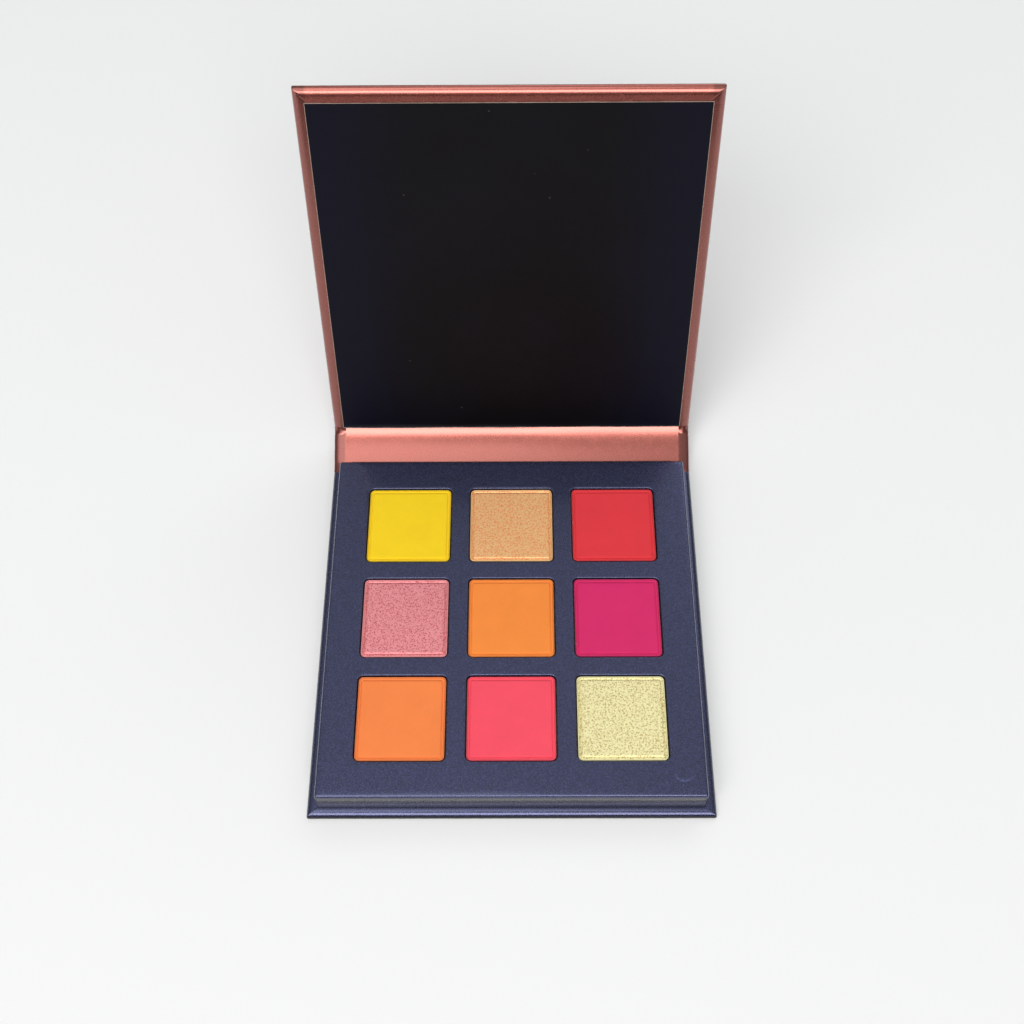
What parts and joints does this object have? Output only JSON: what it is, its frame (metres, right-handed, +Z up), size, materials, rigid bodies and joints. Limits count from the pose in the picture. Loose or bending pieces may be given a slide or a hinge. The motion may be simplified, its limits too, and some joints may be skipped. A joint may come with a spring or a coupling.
{
  "type": "eyeshadow palette",
  "caption": "Square board makeup palette with a raised tray of pressed powder pans, a folding spine panel and a magnetic lid.",
  "frame": {"origin": "centre of the closed case's footprint, on the underside of the base", "axes": "+Z up, +Y from the front edge towards the spine, +X to the right as the palette is used"},
  "size_m": [0.117, 0.1653, 0.1193],
  "materials": {
    "board": "bare greyboard",
    "navy_paper": "satin pearl paper",
    "coral_paper": "metallic rose paper",
    "dark_card": "matte dark card",
    "adhesive": "dried glue",
    "pan_metal": "thin stamped plate",
    "magnet": "plated disc",
    "powder_yellow": "pressed matte powder",
    "powder_copper": "pressed shimmer powder",
    "powder_red": "pressed matte powder",
    "powder_rose": "pressed shimmer powder",
    "powder_orange": "pressed matte powder",
    "powder_magenta": "pressed matte powder",
    "powder_peach": "pressed matte powder",
    "powder_coral": "pressed matte powder",
    "powder_gold": "pressed shimmer powder"
  },
  "bodies": {
    "base": {"base_board": "board", "base_wrap": "navy_paper", "tray_adhesive": "adhesive", "pan_bed_lower": "board", "pan_bed_upper": "board", "tray_wall_front": "board", "tray_wall_back": "board", "tray_wall_left": "board", "tray_wall_right": "board", "tray_card": "board", "tray_wrap": "navy_paper", "tray_magnet_left": "magnet", "tray_magnet_right": "magnet", "pan_glue": "adhesive", "lower_crease_liner": "coral_paper", "lower_crease_wrap": "coral_paper", "pan_yellow": "pan_metal", "pan_copper": "pan_metal", "pan_red": "pan_metal", "pan_rose": "pan_metal", "pan_orange": "pan_metal", "pan_magenta": "pan_metal", "pan_peach": "pan_metal", "pan_coral": "pan_metal", "pan_gold": "pan_metal", "powder_yellow": "powder_yellow", "powder_copper": "powder_copper", "powder_red": "powder_red", "powder_rose": "powder_rose", "powder_orange": "powder_orange", "powder_magenta": "powder_magenta", "powder_peach": "powder_peach", "powder_coral": "powder_coral", "powder_gold": "powder_gold"},
    "spine": {"spine_board": "board", "spine_wrap": "coral_paper", "spine_liner": "coral_paper"},
    "lid": {"lid_board": "board", "lid_wrap": "coral_paper", "lid_adhesive": "adhesive", "lid_liner": "dark_card", "lid_magnet_left": "magnet", "lid_magnet_right": "magnet", "upper_crease_liner": "coral_paper", "upper_crease_wrap": "coral_paper"}
  },
  "joints": [
    {"name": "spine_fold", "type": "hinge", "parent": "base", "child": "spine", "pos_m": [0, 0.059, 0.0001], "axis": [1, 0, 0], "range_deg": [-24, 66], "deforming": ["lower_crease_liner", "lower_crease_wrap"]},
    {"name": "lid_fold", "type": "hinge", "parent": "spine", "child": "lid", "pos_m": [0, 0.0717, 0.00575], "axis": [1, 0, 0], "range_deg": [-49, 41], "deforming": ["upper_crease_liner", "upper_crease_wrap"]}
  ]
}
